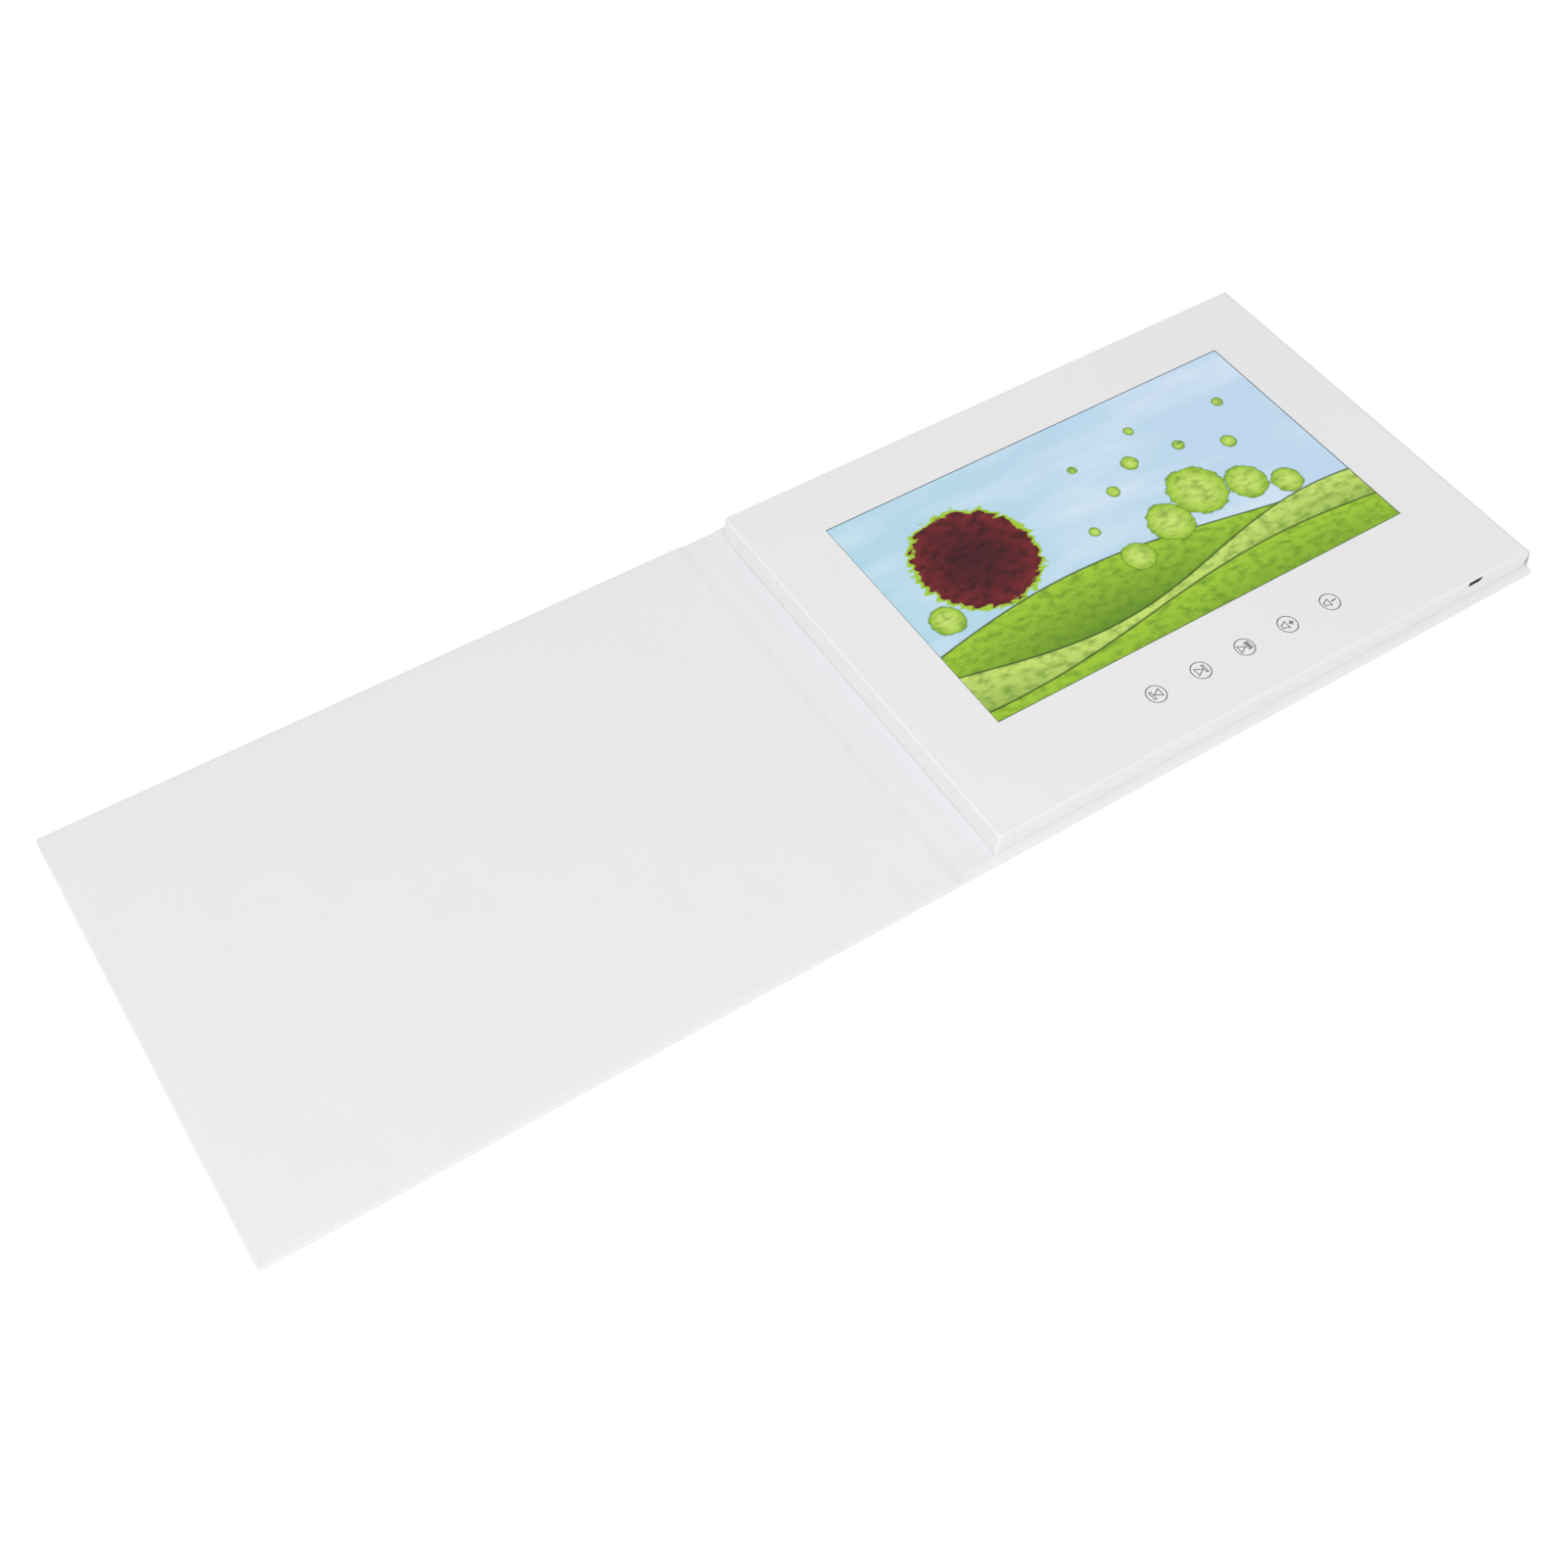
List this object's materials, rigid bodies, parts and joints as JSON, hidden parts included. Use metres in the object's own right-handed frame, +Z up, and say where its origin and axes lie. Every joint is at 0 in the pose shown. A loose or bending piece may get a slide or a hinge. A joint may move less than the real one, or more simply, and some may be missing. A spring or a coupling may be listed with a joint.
{
  "type": "lcd video brochure",
  "caption": "Hard-cover video brochure: a lid board and narrow spine fold round a base board with a shallow box that holds a wide screen, round push buttons and a charging socket.",
  "frame": {"origin": "middle of the open brochure, on the surface it lies on", "axes": "+X from the lid to the box with the screen, +Y to the top of the picture, +Z up"},
  "size_m": [0.6098, 0.2092, 0.014],
  "materials": {
    "cover_paper": "matt laminated white paper",
    "liner_paper": "matt white paper",
    "grey_board": "uncoated grey board",
    "box_card": "matt laminated white card",
    "frame_board": "uncoated white board",
    "black_tape": "thin foam tape",
    "frame_steel": "thin stamped sheet",
    "screen_glass": "smooth glass over a dark film",
    "screen_picture": "lit picture, satin front",
    "clear_guide": "clear moulded sheet",
    "circuit_board": "green solder mask",
    "chip_black": "moulded black",
    "capacitor_tan": "tan, with plated ends",
    "foam": "soft white foam",
    "socket_steel": "plated sheet",
    "tongue_plastic": "moulded grey",
    "battery_foil": "pouch foil",
    "adhesive_tape": "double-sided tape",
    "lead_plastic": "insulated wire",
    "plug_plastic": "moulded ivory",
    "speaker_plastic": "moulded black",
    "cone_paper": "pressed black paper",
    "magnet_nickel": "nickel plate",
    "ribbon_plastic": "flexible amber film",
    "button_card": "matt laminated white card with a printed grey sign",
    "plunger_plastic": "moulded black"
  },
  "bodies": {
    "base": {"base_board": "grey_board", "base_wrap": "cover_paper", "base_liner": "liner_paper", "case_cover": "box_card", "fore_edge_flap": "box_card", "face_board": "frame_board", "strip_front_left": "frame_board", "strip_front_right": "frame_board", "strip_back": "frame_board", "strip_left": "frame_board", "strip_right": "frame_board", "lcd_gasket": "black_tape", "lcd_bezel": "frame_steel", "lcd_panel": "screen_glass", "lcd_picture": "screen_picture", "lcd_light_guide": "clear_guide", "lcd_back_plate": "frame_steel", "lcd_driver_board": "circuit_board", "lcd_ribbon": "ribbon_plastic", "lcd_plug": "plug_plastic", "main_board": "circuit_board", "processor_chip": "chip_black", "memory_chip": "chip_black", "amplifier_chip": "chip_black", "capacitors": "capacitor_tan", "hall_sensor": "chip_black", "board_pad": "foam", "usb_shell": "socket_steel", "usb_tongue": "tongue_plastic", "battery_cell": "battery_foil", "battery_pad": "adhesive_tape", "battery_leads": "lead_plastic", "battery_plug": "plug_plastic", "speaker_plug": "plug_plastic", "speaker_frame": "speaker_plastic", "speaker_cone": "cone_paper", "speaker_magnet": "magnet_nickel", "speaker_leads": "lead_plastic", "key_board": "circuit_board", "key_pad": "foam", "key_ribbon": "ribbon_plastic", "switch_bodies": "frame_steel", "switch_domes": "frame_steel"},
    "spine": {"spine_board": "grey_board", "spine_wrap": "cover_paper", "spine_liner": "liner_paper"},
    "lid": {"lid_board": "grey_board", "lid_wrap": "cover_paper", "lid_liner": "liner_paper", "lid_magnet": "magnet_nickel"},
    "button_previous": {"button_previous": "button_card", "plunger_previous": "plunger_plastic"},
    "button_next": {"button_next": "button_card", "plunger_next": "plunger_plastic"},
    "button_play": {"button_play": "button_card", "plunger_play": "plunger_plastic"},
    "button_louder": {"button_louder": "button_card", "plunger_louder": "plunger_plastic"},
    "button_softer": {"button_softer": "button_card", "plunger_softer": "plunger_plastic"}
  },
  "joints": [
    {"name": "spine_fold", "type": "hinge", "parent": "base", "child": "spine", "pos_m": [0.00875, 0, 0.0001], "axis": [0, 1, 0], "range_deg": [0, 90]},
    {"name": "lid_fold", "type": "hinge", "parent": "spine", "child": "lid", "pos_m": [-0.00875, 0, 0.0001], "axis": [0, 1, 0], "range_deg": [0, 90]},
    {"name": "press_previous", "type": "slide", "parent": "base", "child": "button_previous", "axis": [0, 0, -1], "range_m": [0, 0.0003], "stiffness_N_per_m": 6400},
    {"name": "press_next", "type": "slide", "parent": "base", "child": "button_next", "axis": [0, 0, -1], "range_m": [0, 0.0003], "stiffness_N_per_m": 6400},
    {"name": "press_play", "type": "slide", "parent": "base", "child": "button_play", "axis": [0, 0, -1], "range_m": [0, 0.0003], "stiffness_N_per_m": 6400},
    {"name": "press_louder", "type": "slide", "parent": "base", "child": "button_louder", "axis": [0, 0, -1], "range_m": [0, 0.0003], "stiffness_N_per_m": 6400},
    {"name": "press_softer", "type": "slide", "parent": "base", "child": "button_softer", "axis": [0, 0, -1], "range_m": [0, 0.0003], "stiffness_N_per_m": 6400}
  ]
}
